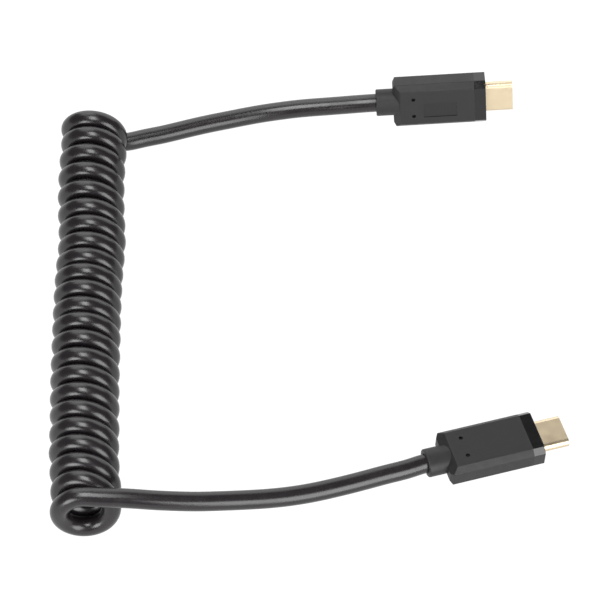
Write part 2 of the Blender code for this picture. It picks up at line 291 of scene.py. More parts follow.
POLISHED_BAND = Finish(
    name="polished_front_band",
    light=(0.008, 0.008, 0.0085),
    dark=(0.005, 0.005, 0.0055),
    gloss=(0.12, 0.17),
    patch=1.2,
    grain=Grain(0.25, 0.0004, 1.0),
    wave=Grain(1.8, 0.002),
    ior=1.45,
)
GOLD_PLATE = Finish(
    name="gold_plated_shell",
    light=(0.715, 0.595, 0.415),
    dark=(0.65, 0.54, 0.375),
    gloss=(0.31, 0.37),
    patch=2.5,
    grain=Grain(0.15, 0.0004, 1.0),
    wave=Grain(2.4, 0.002),
    metallic=1.0,
)
BLACK_INSULATOR = Finish(
    name="black_insulator",
    light=(0.016, 0.016, 0.016),
    dark=(0.01, 0.01, 0.01),
    gloss=(0.35, 0.48),
    patch=0.8,
    grain=Grain(0.1, 0.002, 1.0),
    wave=Grain(1.0, 0.003),
)
BRIGHT_CONTACT = Finish(
    name="gold_contacts",
    light=(0.9, 0.7, 0.36),
    dark=(0.82, 0.6, 0.28),
    gloss=(0.2, 0.28),
    patch=0.3,
    grain=Grain(0.05, 0.0004, 1.0),
    wave=Grain(0.4, 0.001),
    metallic=1.0,
)


# Modelling by hand
EdgeTest = Callable[[Vector, Vector, float], bool]


def runs_along(a: Vector, b: Vector, fold: float) -> bool:
    """Tell whether an edge runs along its piece, from the back to the tip."""
    return abs(a.x - b.x) > LONG_EDGE


def runs_up(a: Vector, b: Vector, fold: float) -> bool:
    """Tell whether an edge runs up through its piece."""
    return abs(a.z - b.z) > LONG_EDGE


class Workpiece:
    """A mesh that is modelled by hand, in millimetres, in a straight frame of its own."""

    def __init__(self, item: Object, name: str) -> None:
        """Take up an object.

        Args:
            item: The object, which is at its place already.
            name: Its new name.
        """
        item.name = name
        item.data.name = name
        self.item = item

    @classmethod
    def block(cls, name: str, low: Point, high: Point) -> "Workpiece":
        """Start from a block.

        Args:
            name: The piece's name.
            low: The block's lowest corner.
            high: The block's highest corner.

        Returns:
            The new piece.
        """
        middle = [(a + b) / 2 for a, b in zip(low, high)]
        extent = [b - a for a, b in zip(low, high)]
        bpy.ops.mesh.primitive_cube_add(size=1.0, location=middle, scale=extent)
        bpy.ops.object.transform_apply(location=True, rotation=True, scale=True)
        return cls(bpy.context.object, name)

    @classmethod
    def rod(
        cls, name: str, start: Point, reach: float, radius: float, sides: int, along: Vector
    ) -> "Workpiece":
        """Start from a round rod.

        Args:
            name: The piece's name.
            start: The middle of the rod's first end.
            reach: The rod's length.
            radius: The rod's radius.
            sides: How many sides stand for the round.
            along: The direction of the rod.

        Returns:
            The new piece.
        """
        middle = Vector(start) + along * (reach / 2)
        turn = Vector((0.0, 0.0, 1.0)).rotation_difference(along).to_euler()
        bpy.ops.mesh.primitive_cylinder_add(
            vertices=sides, radius=radius, depth=reach, location=middle, rotation=turn
        )
        bpy.ops.object.transform_apply(location=True, rotation=True, scale=True)
        return cls(bpy.context.object, name)

    def take(self) -> None:
        """Select the piece alone and make it the active one."""
        bpy.ops.object.select_all(action="DESELECT")
        self.item.select_set(True)
        bpy.context.view_layer.objects.active = self.item

    def copy(self, name: str) -> "Workpiece":
        """Copy the piece with a mesh of its own.

        Args:
            name: The copy's name.

        Returns:
            The copy.
        """
        self.take()
        bpy.ops.object.duplicate(linked=False)
        return Workpiece(bpy.context.object, name)

    @contextmanager
    def editing(self) -> Iterator[None]:
        """Open the piece alone in edit mode, and close it afterwards."""
        self.take()
        bpy.ops.object.mode_set(mode="EDIT")
        bpy.ops.mesh.select_all(action="DESELECT")
        yield
        bpy.ops.object.mode_set(mode="OBJECT")

    def pick_front(self) -> None:
        """Select the faces that look towards the tip, in edit mode."""
        bpy.ops.mesh.select_mode(type="FACE")
        mesh = bmesh.from_edit_mesh(self.item.data)
        for face in mesh.faces:
            face.select_set(face.normal.x > FORWARD)
        bmesh.update_edit_mesh(self.item.data)

    def pick_edges(self, test: EdgeTest) -> None:
        """Select the edges whose ends and fold pass a test, in edit mode.

        Args:
            test: The test of an edge's two ends and the angle between its faces, which is
                negative in an inner corner.
        """
        bpy.ops.mesh.select_mode(type="EDGE")
        mesh = bmesh.from_edit_mesh(self.item.data)
        for edge in mesh.edges:
            fold = edge.calc_face_angle_signed(0.0)
            edge.select_set(test(edge.verts[0].co, edge.verts[1].co, fold))
        bmesh.update_edit_mesh(self.item.data)

    def slice(self, on: Point, outward: Point, drop: bool = True) -> None:
        """Cut the piece with a plane, or only draw a line where the plane meets it.

        Args:
            on: A point on the plane.
            outward: The plane's normal.
            drop: Whether the outward side falls off and the cut is closed.
        """
        with self.editing():
            bpy.ops.mesh.select_all(action="SELECT")
            bpy.ops.mesh.bisect(plane_co=on, plane_no=outward, use_fill=drop, clear_outer=drop)

    def round_edges(self, test: EdgeTest, width: float, strips: Strips) -> None:
        """Round the edges that pass a test.

        Args:
            test: The test of an edge's two ends and fold.
            width: How far the rounding reaches from the edge.
            strips: How many strips the rounding has.
        """
        with self.editing():
            self.pick_edges(test)
            bpy.ops.mesh.bevel(
                offset=width, segments=strips.value, affect="EDGES", clamp_overlap=True
            )

    def cut(self, other: "Workpiece", kind: Cut = Cut.TAKEN_OUT) -> None:
        """Cut another piece out of this one, or join it on.

        Args:
            other: The other piece, which is used up.
            kind: The kind of cut.
        """
        self.take()
        modifier = self.item.modifiers.new("cut", "BOOLEAN")
        modifier.operation = kind.value
        modifier.solver = "EXACT"
        modifier.object = other.item
        bpy.ops.object.modifier_apply(modifier=modifier.name)
        other.discard()

    def discard(self) -> None:
        """Remove the piece from the scene."""
        bpy.data.objects.remove(self.item, do_unlink=True)

    def join(self, others: Sequence["Workpiece"]) -> None:
        """Make one object of this piece and others.

        Args:
            others: The other pieces, which are used up.
        """
        self.take()
        for other in others:
            other.item.select_set(True)
        bpy.ops.object.join()

    def smooth(self) -> None:
        """Shade the piece smooth, with its flat faces kept flat."""
        self.take()
        bpy.ops.object.shade_smooth_by_angle(angle=SMOOTH_FOLD)
        modifier = self.item.modifiers.new("even_shading", "WEIGHTED_NORMAL")
        modifier.keep_sharp = True
        bpy.ops.object.modifier_apply(modifier=modifier.name)

    def dress(self, *finishes: Finish) -> None:
        """Give the piece its materials.

        Args:
            finishes: The finishes, in the order of the piece's slots.
        """
        self.item.data.materials.clear()
        for finish in finishes:
            self.item.data.materials.append(finish.make())

    def place(self, matrix: Matrix, slot: str, *nodes: str) -> Object:
        """Put the finished piece in the frame.

        Args:
            matrix: Takes the piece's millimetres to the frame's metres.
            slot: The record's material slot. It is not used.
            nodes: The CAD nodes that it stands for.

        Returns:
            The finished object.
        """
        self.item.data.transform(matrix)
        self.item.data.update()
        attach(self.item, BODY)
        if nodes:
            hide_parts(*nodes)
        return self.item


# Camera
@dataclass
class StudioCamera:
    """The camera, with a long lens, above the table on the near side.

    Attributes:
        lens: Focal length in millimetres.
        sensor: Sensor width in millimetres.
        distance: Distance from the point that it looks at, in millimetres.
        elevation: Height above the table, in degrees.
        target: The point that it looks at, in millimetres.
        nearest: The nearest that it sees, in millimetres.
    """

    lens: float = 180.0
    sensor: float = 36.0
    distance: float = 720.0
    elevation: float = 57.0
    target: Point = (-1.74, 2.79, 0.0)
    nearest: float = 10.0

    def build(self) -> None:
        """Add the camera and make it the scene's own."""
        rise = math.radians(self.elevation)
        back = Vector((0.0, -math.cos(rise), math.sin(rise))) * self.distance
        tilt = math.pi / 2 - rise
        bpy.ops.object.camera_add(
            location=(Vector(self.target) + back) * MM, rotation=(tilt, 0.0, 0.0)
        )
        camera = bpy.context.object
        camera.name = "studio_camera"
        camera.data.lens = self.lens
        camera.data.sensor_width = self.sensor
        camera.data.clip_start = self.nearest * MM
        camera.data.dof.use_dof = False
        bpy.context.scene.camera = camera


# Plug poses
@dataclass(frozen=True)
class PlugPose:
    """How a plug lies.

    Attributes:
        back: Centre of the housing's back face, in millimetres.
        turn: Heading about the upright axis, in degrees.
        nose_up: Rise of the tip, in degrees.
        roll: Turn about the plug's own length, in degrees.
    """

    back: Point
    turn: float
    nose_up: float
    roll: float

    def matrix(self) -> Matrix:
        """Take the plug's own millimetres to the frame's metres."""
        angles = (math.radians(self.roll), -math.radians(self.nose_up), math.radians(self.turn))
        spin = Euler(angles, "XYZ").to_matrix().to_4x4()
        move = Matrix.Translation((Vector(self.back) + ORIGIN_SHIFT) * MM)
        return move @ spin @ Matrix.Scale(MM, 4)

    def on_axis(self, x: float) -> Vector:
        """Find a point on the plug's own axis.

        Args:
            x: Distance from the back face towards the tip, in millimetres.

        Returns:
            The point, in millimetres, before the shift to the frame's origin.
        """
        angles = (0.0, -math.radians(self.nose_up), math.radians(self.turn))
        along = Euler(angles, "XYZ").to_matrix() @ Vector((1.0, 0.0, 0.0))
        return Vector(self.back) + along * x


NEAR_POSE = PlugPose(back=(33.3, -46.65, 4.95), turn=17.0, nose_up=-3.5, roll=-4.0)
FAR_POSE = PlugPose(back=(23.55, 54.55, 6.55), turn=1.8, nose_up=3.1, roll=72.7)


# Cord
class SmoothLine:
    """A smooth curve through points, at a rising parameter."""

    def __init__(self, stations: Sequence[float], points: np.ndarray) -> None:
        """Find how the curve bends at each point.

        Args:
            stations: The parameter of each point.
            points: The points, one a row.
        """
        self.stations = np.asarray(stations, float)
        self.points = np.asarray(points, float).reshape(len(self.stations), -1)
        gaps = np.diff(self.stations)
        slopes = np.diff(self.points, axis=0) / gaps[:, None]
        count = len(self.stations)
        system = np.eye(count)
        wanted = np.zeros_like(self.points)
        for row in range(1, count - 1):
            system[row, row - 1] = gaps[row - 1]
            system[row, row] = 2 * (gaps[row - 1] + gaps[row])
            system[row, row + 1] = gaps[row]
            wanted[row] = 6 * (slopes[row] - slopes[row - 1])
        self.bends = np.linalg.solve(system, wanted)

    def at(self, wanted: Sequence[float]) -> np.ndarray:
        """Read the curve.

        Args:
            wanted: The parameters to read it at.

        Returns:
            The points, one a row.
        """
        wanted = np.asarray(wanted, float)
        last = len(self.stations) - 2
        left = np.clip(np.searchsorted(self.stations, wanted) - 1, 0, last)
        gap = (self.stations[left + 1] - self.stations[left])[:, None]
        after = (wanted - self.stations[left])[:, None] / gap
        before = 1 - after
        straight = before * self.points[left] + after * self.points[left + 1]
        bent = (before**3 - before) * self.bends[left] + (after**3 - after) * self.bends[left + 1]
        return straight + bent * gap**2 / 6


@dataclass
class Cord:
    """The one cord: near tail, left-handed coil and far tail. Sizes are in millimetres.

    Attributes:
        diameter: The cord's thickness.
        sides: How many sides stand for its round section.
        ring_spacing: Distance between two rings of the mesh.
        read_spacing: Distance between the points that its length is read at.
        wound_radius: Distance of the cord's middle from the coil's axis.
        axis_height: Height of the coil's axis.
        points_per_turn: How many points each turn is traced with.
        seat: How far the cord goes into each collar.
        straight: How far it runs straight inside the collar.
        collar_length: Length of a plug's collar.
        strands: Turn numbers, and where each turn crosses the coil's top (whole numbers)
            or underside (halves).
        axis: How the coil's axis wanders: distance along the table, then across it.
        last_turn: Turn number at the coil's near end.
        near_tail: Points of the near tail, from the coil to the plug.
        far_tail: Points of the far tail, from the coil to the plug.
        line: The cord's middle in the frame's metres, once it is built.
    """

    diameter: float = 4.5
    sides: int = 32
    ring_spacing: float = 0.8
    read_spacing: float = 0.05
    wound_radius: float = 5.85
    axis_height: float = 8.12
    points_per_turn: int = 20
    seat: float = 1.1
    straight: float = 1.5
    collar_length: float = COLLAR_LENGTH
    strands: tuple[tuple[float, float], ...] = (
        (-0.5, 45.75), (0.0, 43.5), (1.0, 38.75), (2.0, 33.55), (3.0, 28.25), (4.0, 22.8),
        (5.0, 17.6), (6.0, 12.8), (7.0, 7.9), (8.0, 3.3), (9.0, -1.1), (10.0, -5.7),
        (11.0, -10.4), (12.0, -14.8), (13.0, -19.6), (14.0, -24.5), (15.0, -29.2),
        (16.0, -34.0), (17.0, -38.8), (17.5, -41.8), (18.0, -43.3), (18.5, -47.0),
        (19.0, -47.9), (19.5, -52.4), (20.0, -52.7), (20.5, -58.1), (21.0, -57.35),
        (21.25, -60.8), (21.5, -62.85), (21.75, -62.6), (22.0, -61.4),
    )
    axis: tuple[tuple[float, float], ...] = (
        (-65.0, -48.7), (-55.0, -48.95), (-50.0, -49.45), (-41.0, -49.75), (-30.0, -50.1),
        (-16.5, -50.3), (-5.0, -50.4), (5.6, -50.15), (11.0, -49.95), (18.0, -50.35),
        (25.0, -50.7), (35.0, -50.7), (44.6, -50.7), (48.2, -51.2),
    )
    last_turn: float = 21.94
    near_tail: tuple[Point, ...] = (
        (-46.4, -61.75, 13.93), (-43.9, -61.8, 13.8), (-41.0, -61.8, 13.6),
        (-38.0, -61.8, 13.3), (-34.2, -61.8, 12.75), (-28.9, -61.6, 11.85),
        (-23.5, -61.2, 10.9), (-18.1, -60.55, 10.0), (-12.7, -59.8, 9.1), (-7.3, -59.0, 8.35),
        (-1.8, -57.95, 7.7), (3.6, -56.55, 7.1), (9.1, -54.85, 6.6), (14.6, -53.0, 6.15),
        (20.2, -51.1, 5.8), (25.0, -49.5, 5.5),
    )
    far_tail: tuple[Point, ...] = (
        (-47.3, 45.45, 2.3), (-43.2, 45.3, 2.3), (-39.2, 46.3, 2.3), (-35.2, 47.3, 2.3),
        (-29.3, 49.0, 2.3), (-23.4, 50.7, 2.3), (-17.4, 52.2, 2.3), (-11.5, 53.5, 2.45),
        (-5.5, 54.4, 2.8), (0.5, 54.8, 3.45), (6.5, 54.75, 4.3), (12.4, 54.5, 5.4),
    )
    line: np.ndarray = field(init=False)

    def turns(self) -> np.ndarray:
        """Trace the wound turns, from the near end to the far one."""
        numbers = [number for number, _ in self.strands]
        places = SmoothLine(numbers, np.array([place for _, place in self.strands]))
        along = SmoothLine([y for y, _ in self.axis], np.array([x for _, x in self.axis]))
        count = round((self.last_turn - numbers[0]) * self.points_per_turn)
        wanted = np.linspace(self.last_turn, numbers[0], count + 1)
        y = places.at(wanted)[:, 0]
        x = along.at(y)[:, 0] + self.wound_radius * np.sin(FULL_TURN * wanted)
        z = self.axis_height + self.wound_radius * np.cos(FULL_TURN * wanted)
        return np.stack([x, y, z], axis=1)

    def route(self) -> np.ndarray:
        """List the points that the cord passes through, from collar to collar."""
        inside = self.seat - self.collar_length
        outer = inside - self.straight
        near = [tuple(NEAR_POSE.on_axis(inside)), tuple(NEAR_POSE.on_axis(outer))]
        far = [tuple(FAR_POSE.on_axis(outer)), tuple(FAR_POSE.on_axis(inside))]
        first = np.array(near + list(reversed(self.near_tail)))
        return np.concatenate([first, self.turns(), np.array(list(self.far_tail) + far)])

    def centreline(self) -> np.ndarray:
        """Read evenly spaced points of the cord's middle, in the frame's metres."""
        knots = self.route() + np.array(ORIGIN_SHIFT)
        reached = self._reached(knots)
        count = round(reached[-1] / self.read_spacing)
        fine = SmoothLine(reached, knots).at(np.linspace(0.0, reached[-1], count))
        reached = self._reached(fine)
        rings = round(reached[-1] / self.ring_spacing)
        even = np.linspace(0.0, reached[-1], rings + 1)
        return np.stack([np.interp(even, reached, fine[:, i]) for i in range(3)], axis=1) * MM

    def build(self) -> Object:
        """Lay the cord as one round tube with closed ends."""
        line = self.centreline()
        along = self._headings(line)
        sides = self._carry_side(along)
        other = np.cross(along, sides)
        angles = FULL_TURN * np.arange(self.sides) / self.sides
        radius = self.diameter / 2 * MM
        rings = (
            line[:, None, :]
            + radius * np.cos(angles)[None, :, None] * sides[:, None, :]
            + radius * np.sin(angles)[None, :, None] * other[:, None, :]
        )
        faces = []
        for ring in range(len(line) - 1):
            for side in range(self.sides):
                a = ring * self.sides + side
                b = ring * self.sides + (side + 1) % self.sides
                faces.append((a, b, b + self.sides, a + self.sides))
        last = (len(line) - 1) * self.sides
        faces.append(tuple(reversed(range(self.sides))))
        faces.append(tuple(range(last, last + self.sides)))
        mesh = bpy.data.meshes.new("cord")
        mesh.from_pydata(rings.reshape(-1, 3).tolist(), [], faces)
        mesh.shade_smooth()
        mesh.set_sharp_from_angle(angle=CAP_FOLD)
        mesh.materials.append(GLOSSY_JACKET.make())
        item = bpy.data.objects.new("cord", mesh)
        bpy.context.scene.collection.objects.link(item)
        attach(item, BODY)
        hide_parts("coil", "far_tail", "near_tail")
        self.line = line
        return item

    def _reached(self, line: np.ndarray) -> np.ndarray:
        """Measure how far along a line each of its points lies."""
        steps = np.linalg.norm(np.diff(line, axis=0), axis=1)
        return np.concatenate([[0.0], np.cumsum(steps)])

    def _headings(self, line: np.ndarray) -> np.ndarray:
        """Find which way the cord runs at each point of its middle."""
        along = np.gradient(line, axis=0)
        return along / np.linalg.norm(along, axis=1)[:, None]

    def _carry_side(self, along: np.ndarray) -> np.ndarray:
        """Carry one side direction along the cord without twisting it.

        Args:
            along: Which way the cord runs at each point.

        Returns:
            A direction square to the cord at each point.
        """
        side = np.cross(along[0], np.array([0.0, 0.0, 1.0]))
        sides = [side / np.linalg.norm(side)]
        for direction in along[1:]:
            side = sides[-1] - direction * np.dot(sides[-1], direction)
            sides.append(side / np.linalg.norm(side))
        return np.array(sides)

    def declare(self) -> float:
        """Returns:
            The cord's length in metres.
        """
        length = float(np.linalg.norm(np.diff(self.line, axis=0), axis=1).sum())
        return length


# Plug pieces
@dataclass
class FlatPiece:
    """A flat piece with rounded sides. x runs from the housing's back to the tip.

    Attributes:
        start: Where it starts.
        tip: Where it ends.
        half_width: Half of its width.
        half_height: Half of its height.
    """

    start: float
    tip: float
    half_width: float
    half_height: float

    def blank(self, name: str, strips: Strips, corner: float | None = None) -> Workpiece:
        """Start from a block with its long edges rounded.

        Args:
            name: The piece's name.
            strips: How many strips each rounding has.
            corner: The rounding, or None for the whole side.

        Returns:
            The new piece.
        """
        block = Workpiece.block(
            name,
            (self.start, -self.half_width, -self.half_height),
            (self.tip, self.half_width, self.half_height),
        )
        whole = self.half_height * WHOLE_ROUND
        block.round_edges(runs_along, whole if corner is None else corner, strips)
        return block


@dataclass
class Housing:
    """The moulded housing of a plug with its collar. x runs from the back face to the tip.

    Attributes:
        length: Length of the housing.
        half_width: Half of its width.
        half_height: Half of its height.
        flat_half_width: Half of the broad face's flat width.
        side_half_height: Half of the side face's height.
        back_slope: Length of the slope from each broad face to the back.
        bulge: How far the middle of the back stands out.
        bulge_half_width: Half of that middle's width.
        bulge_half_height: Half of that middle's height.
        edge: Rounding of the outer edges.
        collar_half_width: Half of the collar's width.
        collar_half_height: Half of the collar's height.
        collar_length: How far the collar stands out behind.
        collar_root: How far the collar runs into the housing.
        collar_sides: Sides that stand for its round.
        collar_edge: Rounding of the collar's rim.
        mouth_radius: Radius of the mouth that the cord enters.
        mouth_depth: Depth of the mouth.
        mouth_edge: Rounding of the mouth's rim.
        root_fillet: Fillet where the collar meets the housing.
        hole_radius: Radius of the small round holes.
        hole_depth: Depth of the holes.
        hole_sides: Sides that stand for their round.
        hole_x: Distance of the holes from the back.
        hole_y: Distance of each hole from the middle.
        label_start: Where the label recess starts.
        label_length: Length of the recess.
        label_middle: How far the recess lies off the middle.
        label_half_width: Half of the recess's width.
        label_depth: Depth of the recess.
        label_corner: Rounding of the recess's corners.
        seat_half_width: Half of the shell pocket's width.
        seat_half_height: Half of the pocket's height.
        seat_depth: Depth of the pocket.
        band: Length of the polished band at the front.
    """

    length: float = HOUSING_LENGTH
    half_width: float = 6.2
    half_height: float = 3.2
    flat_half_width: float = 4.2
    side_half_height: float = 1.85
    back_slope: float = 1.2
    bulge: float = 0.6
    bulge_half_width: float = 4.0
    bulge_half_height: float = 1.3
    edge: float = 0.24
    collar_half_width: float = 3.5
    collar_half_height: float = 2.95
    collar_length: float = COLLAR_LENGTH
    collar_root: float = 0.95
    collar_sides: int = 72
    collar_edge: float = 0.35
    mouth_radius: float = 2.32
    mouth_depth: float = 1.3
    mouth_edge: float = 0.12
    root_fillet: float = 0.22
    hole_radius: float = 0.5
    hole_depth: float = 0.7
    hole_sides: int = 24
    hole_x: float = 4.4
    hole_y: float = 2.5
    label_start: float = 6.9
    label_length: float = 8.2
    label_middle: float = -0.9
    label_half_width: float = 2.1
    label_depth: float = 0.15
    label_corner: float = 0.25
    seat_half_width: float = 4.225
    seat_half_height: float = 1.3
    seat_depth: float = 2.1
    band: float = 2.8

    def model(self) -> Workpiece:
        """Model the housing without its label recess."""
        body = Workpiece.block(
            "housing",
            (-self.bulge, -self.half_width, -self.half_height),
            (self.length, self.half_width, self.half_height),
        )
        slope_y = self.half_height - self.side_half_height
        slope_z = self.half_width - self.flat_half_width
        back_rise = self.half_height - self.bulge_half_height
        back_reach = self.back_slope + self.bulge
        back_narrowing = self.half_width - self.bulge_half_width
        for up in (1, -1):
            for side in (1, -1):
                body.slice(
                    (0.0, side * self.half_width, up * self.side_half_height),
                    (0.0, side * slope_y, up * slope_z),
                )
            body.slice(
                (self.back_slope, 0.0, up * self.half_height), (-back_rise, 0.0, up * back_reach)
            )
            body.slice(
                (0.0, up * self.half_width, 0.0), (-back_narrowing, up * self.bulge, 0.0)
            )
        body.round_edges(lambda a, b, fold: fold > OUTER_FOLD, self.edge, Strips.EDGE)
        body.cut(self._collar(), Cut.JOINED_ON)
        self._soften_root(body)
        self._drill(body)
        body.cut(self._seat())
        body.slice((self.length - self.band, 0.0, 0.0), (1.0, 0.0, 0.0), drop=False)
        return body

    def _share_of_oval(self, point: Vector) -> float:
        """Tell how far out a point lies, where 1 is the collar's outline."""
        return math.hypot(point.y / self.collar_half_width, point.z / self.collar_half_height)

    def _collar(self) -> Workpiece:
        """Model the oval collar with its softened rim and the cord's mouth."""
        along = Vector((1.0, 0.0, 0.0))
        collar = Workpiece.rod(
            "collar",
            (-self.collar_length, 0.0, 0.0),
            self.collar_length + self.collar_root,
            self.collar_half_width,
            self.collar_sides,
            along,
        )
        flatter = self.collar_half_height / self.collar_half_width
        with collar.editing():
            bpy.ops.mesh.select_all(action="SELECT")
            bpy.ops.transform.resize(value=(1.0, 1.0, flatter), center_override=(0.0, 0.0, 0.0))
        rim = -self.collar_length + EDGE_REACH
        collar.round_edges(
            lambda a, b, fold: max(a.x, b.x) < rim and fold > SQUARE_FOLD,
            self.collar_edge,
            Strips.CORNER,
        )
        mouth_start = (-self.collar_length - self.mouth_depth, 0.0, 0.0)
        mouth = Workpiece.rod(
            "mouth", mouth_start, 2 * self.mouth_depth, self.mouth_radius, self.collar_sides, along
        )
        collar.cut(mouth)
        lip = self.mouth_radius + EDGE_REACH
        collar.round_edges(
            lambda a, b, fold: max(a.x, b.x) < rim and max(a.yz.length, b.yz.length) < lip,
            self.mouth_edge,
            Strips.LIP,
        )
        return collar

    def _soften_root(self, body: Workpiece) -> None:
        """Soften the inner corner where the collar meets the housing.

        Args:
            body: The housing with its collar.
        """

        def on_root(a: Vector, b: Vector, fold: float) -> bool:
            """Tell whether an edge lies in the collar's inner corner."""
            on_outline = all(abs(self._share_of_oval(end) - 1.0) < EDGE_REACH for end in (a, b))
            return on_outline and fold < INNER_FOLD

        body.round_edges(on_root, self.root_fillet, Strips.EDGE)

    def _drill(self, body: Workpiece) -> None:
        """Drill the two small round holes in each broad face.

        Args:
            body: The housing.
        """
        for up in (1, -1):
            for side in (1, -1):
                start = (self.hole_x, side * self.hole_y, up * (self.half_height + self.hole_depth))
                drill = Workpiece.rod(
                    "drill",
                    start,
                    2 * self.hole_depth,
                    self.hole_radius,
                    self.hole_sides,
                    Vector((0.0, 0.0, -float(up))),
                )
                body.cut(drill)

    def _seat(self) -> Workpiece:
        """Model the pocket in the front face that the metal shell stands in."""
        start, tip = self.length - self.seat_depth, self.length + OVERSHOOT
        seat = FlatPiece(start, tip, self.seat_half_width, self.seat_half_height)
        return seat.blank("seat", Strips.ROUND_END)

    def add_label(self, body: Workpiece, side: LabelSide) -> None:
        """Sink the bare label recess into one broad face.

        Args:
            body: The housing.
            side: The broad face.
        """
        low = self.half_height - self.label_depth
        heights = sorted((low * side.value, (self.half_height + OVERSHOOT) * side.value))
        recess = Workpiece.block(
            "recess",
            (self.label_start, self.label_middle - self.label_half_width, heights[0]),
            (
                self.label_start + self.label_length,
                self.label_middle + self.label_half_width,
                heights[1],
            ),
        )
        recess.round_edges(runs_up, self.label_corner, Strips.CORNER)
        body.cut(recess)

    def polish_front(self, body: Workpiece) -> None:
        """Give the front band and the label recess's floor their own material slots.

        Args:
            body: The finished housing.
        """
        band_start = self.length - self.band
        floor = self.half_height - self.label_depth
        for face in body.item.data.polygons:
            x, y, z = face.center
            in_seat = abs(y) < self.seat_half_width and abs(z) < self.seat_half_height
            face.material_index = int(x > band_start and not in_seat)
            along = self.label_start < x < self.label_start + self.label_length
            level = abs(face.normal.z) > 1.0 - EDGE_REACH
            if along and level and abs(abs(z) - floor) < EDGE_REACH:
                face.material_index = LABEL_SLOT


@dataclass
class Shell(FlatPiece):
    """The gold-plated sheet-metal shell that goes into a socket.

    Attributes:
        wall: Thickness of the sheet.
        lip: Rounding of the tip's outer edge.
        inner_lip: Rounding of the tip's inner edge.
        bore_depth: Depth of its hollow.
    """

    start: float = HOUSING_LENGTH - SHELL_SEAT
    tip: float = HOUSING_LENGTH + SHELL_REACH
    half_width: float = 4.125
    half_height: float = 1.2
    wall: float = 0.25
    lip: float = 0.16
    inner_lip: float = 0.08
    bore_depth: float = 8.2

    def model(self) -> Workpiece:
        """Model the shell as a round-sided tube, with a rolled lip at its tip."""
        shell = self.blank("shell", Strips.SHELL_END)
        with shell.editing():
            shell.pick_front()
            bpy.ops.mesh.inset(thickness=self.wall)
            bpy.ops.mesh.extrude_region_move(
                TRANSFORM_OT_translate={"value": (-self.bore_depth, 0.0, 0.0)}
            )
        rim = self.tip - RIM_REACH
        inner_rim = rim - self.lip / 2
        edge_y = self.half_width - SKIN_REACH
        edge_z = self.half_height - SKIN_REACH

        def outside(point: Vector) -> bool:
            """Tell whether a point lies on the shell's outer surface."""
            reach = self.half_width - self.half_height
            beyond = Vector((0.0, max(0.0, abs(point.y) - reach), point.z))
            return beyond.length > edge_z or abs(point.y) > edge_y

        shell.round_edges(
            lambda a, b, fold: min(a.x, b.x) > rim and outside(a) and outside(b),
            self.lip,
            Strips.CORNER,
        )
        shell.round_edges(
            lambda a, b, fold: min(a.x, b.x) > inner_rim and fold > SQUARE_FOLD,
            self.inner_lip,
            Strips.LIP,
        )
        return shell


@dataclass
class Insulator(FlatPiece):
    """The black insulator inside the shell, with its slot for the socket's tongue.

    Attributes:
        slot_half_width: Half of the slot's width.
        slot_half_height: Half of the slot's height.
        slot_depth: Depth of the slot.
        slot_corner: Rounding of the slot's corners.
        edge: Rounding of the front edges.
    """

    start: float = HOUSING_LENGTH - SHELL_SEAT + 0.6
    tip: float = HOUSING_LENGTH + SHELL_REACH - 0.3
    half_width: float = 3.825
    half_height: float = 0.9
    slot_half_width: float = 3.345
    slot_half_height: float = 0.55
    slot_depth: float = 5.6
    slot_corner: float = 0.2
    edge: float = 0.07

    def model(self) -> Workpiece:
        """Model the insulator from a block, with its slot pushed in from the front."""
        body = self.blank("insulator", Strips.ROUND_END)
        start, tip = self.tip - self.slot_depth, self.tip + OVERSHOOT
        slot = FlatPiece(start, tip, self.slot_half_width, self.slot_half_height)
        body.cut(slot.blank("slot", Strips.CORNER, self.slot_corner))
        rim = self.tip - RIM_REACH
        body.round_edges(
            lambda a, b, fold: min(a.x, b.x) > rim and fold > SQUARE_FOLD,
            self.edge,
            Strips.LIP,
        )
        return body


@dataclass
class Contacts:
    """The two rows of contact springs inside the insulator's slot.

    Attributes:
        count: Springs in a row.
        pitch: Distance between two springs.
        half_width: Half of a spring's width.
        thickness: A spring's thickness.
        start: Where a spring starts, from the housing's back.
        bend: Where it leaves the slot's wall.
        tip: Where it ends.
        wall_height: Height of the slot's wall over the middle.
        clearance: Gap between wall and spring.
        dip: Length of the bend.
        rise: How far the spring stands off the wall.
        recovery: Share of the rise that its tip comes back.
    """

    count: int = 12
    pitch: float = 0.5
    half_width: float = 0.13
    thickness: float = 0.06
    start: float = HOUSING_LENGTH + 1.0
    bend: float = HOUSING_LENGTH + 4.4
    tip: float = HOUSING_LENGTH + 5.7
    wall_height: float = 0.55
    clearance: float = 0.005
    dip: float = 0.5
    rise: float = 0.16
    recovery: float = 0.8

    def model(self) -> Workpiece:
        """Model one spring, and copy it along both rows."""
        spring = Workpiece.block(
            "spring",
            (self.start, -self.half_width, self.wall_height - self.thickness),
            (self.bend, self.half_width, self.wall_height - self.clearance),
        )
        crest = (self.bend + self.dip, -self.rise)
        end = (self.tip, self.rise * self.recovery)
        reached = self.bend
        for x, z in (crest, end):
            with spring.editing():
                spring.pick_front()
                move = (x - reached, 0.0, z)
                bpy.ops.mesh.extrude_region_move(TRANSFORM_OT_translate={"value": move})
            reached = x
        springs = []
        for row in (1, -1):
            for number in range(self.count):
                y = (number - (self.count - 1) / 2) * self.pitch
                other = spring.copy("spring_copy")
                turn = Matrix.Rotation(0.0 if row == 1 else math.pi, 4, "X")
                other.item.data.transform(Matrix.Translation((0.0, y, 0.0)) @ turn)
                springs.append(other)
        spring.discard()
        springs[0].join(springs[1:])
        return springs[0]


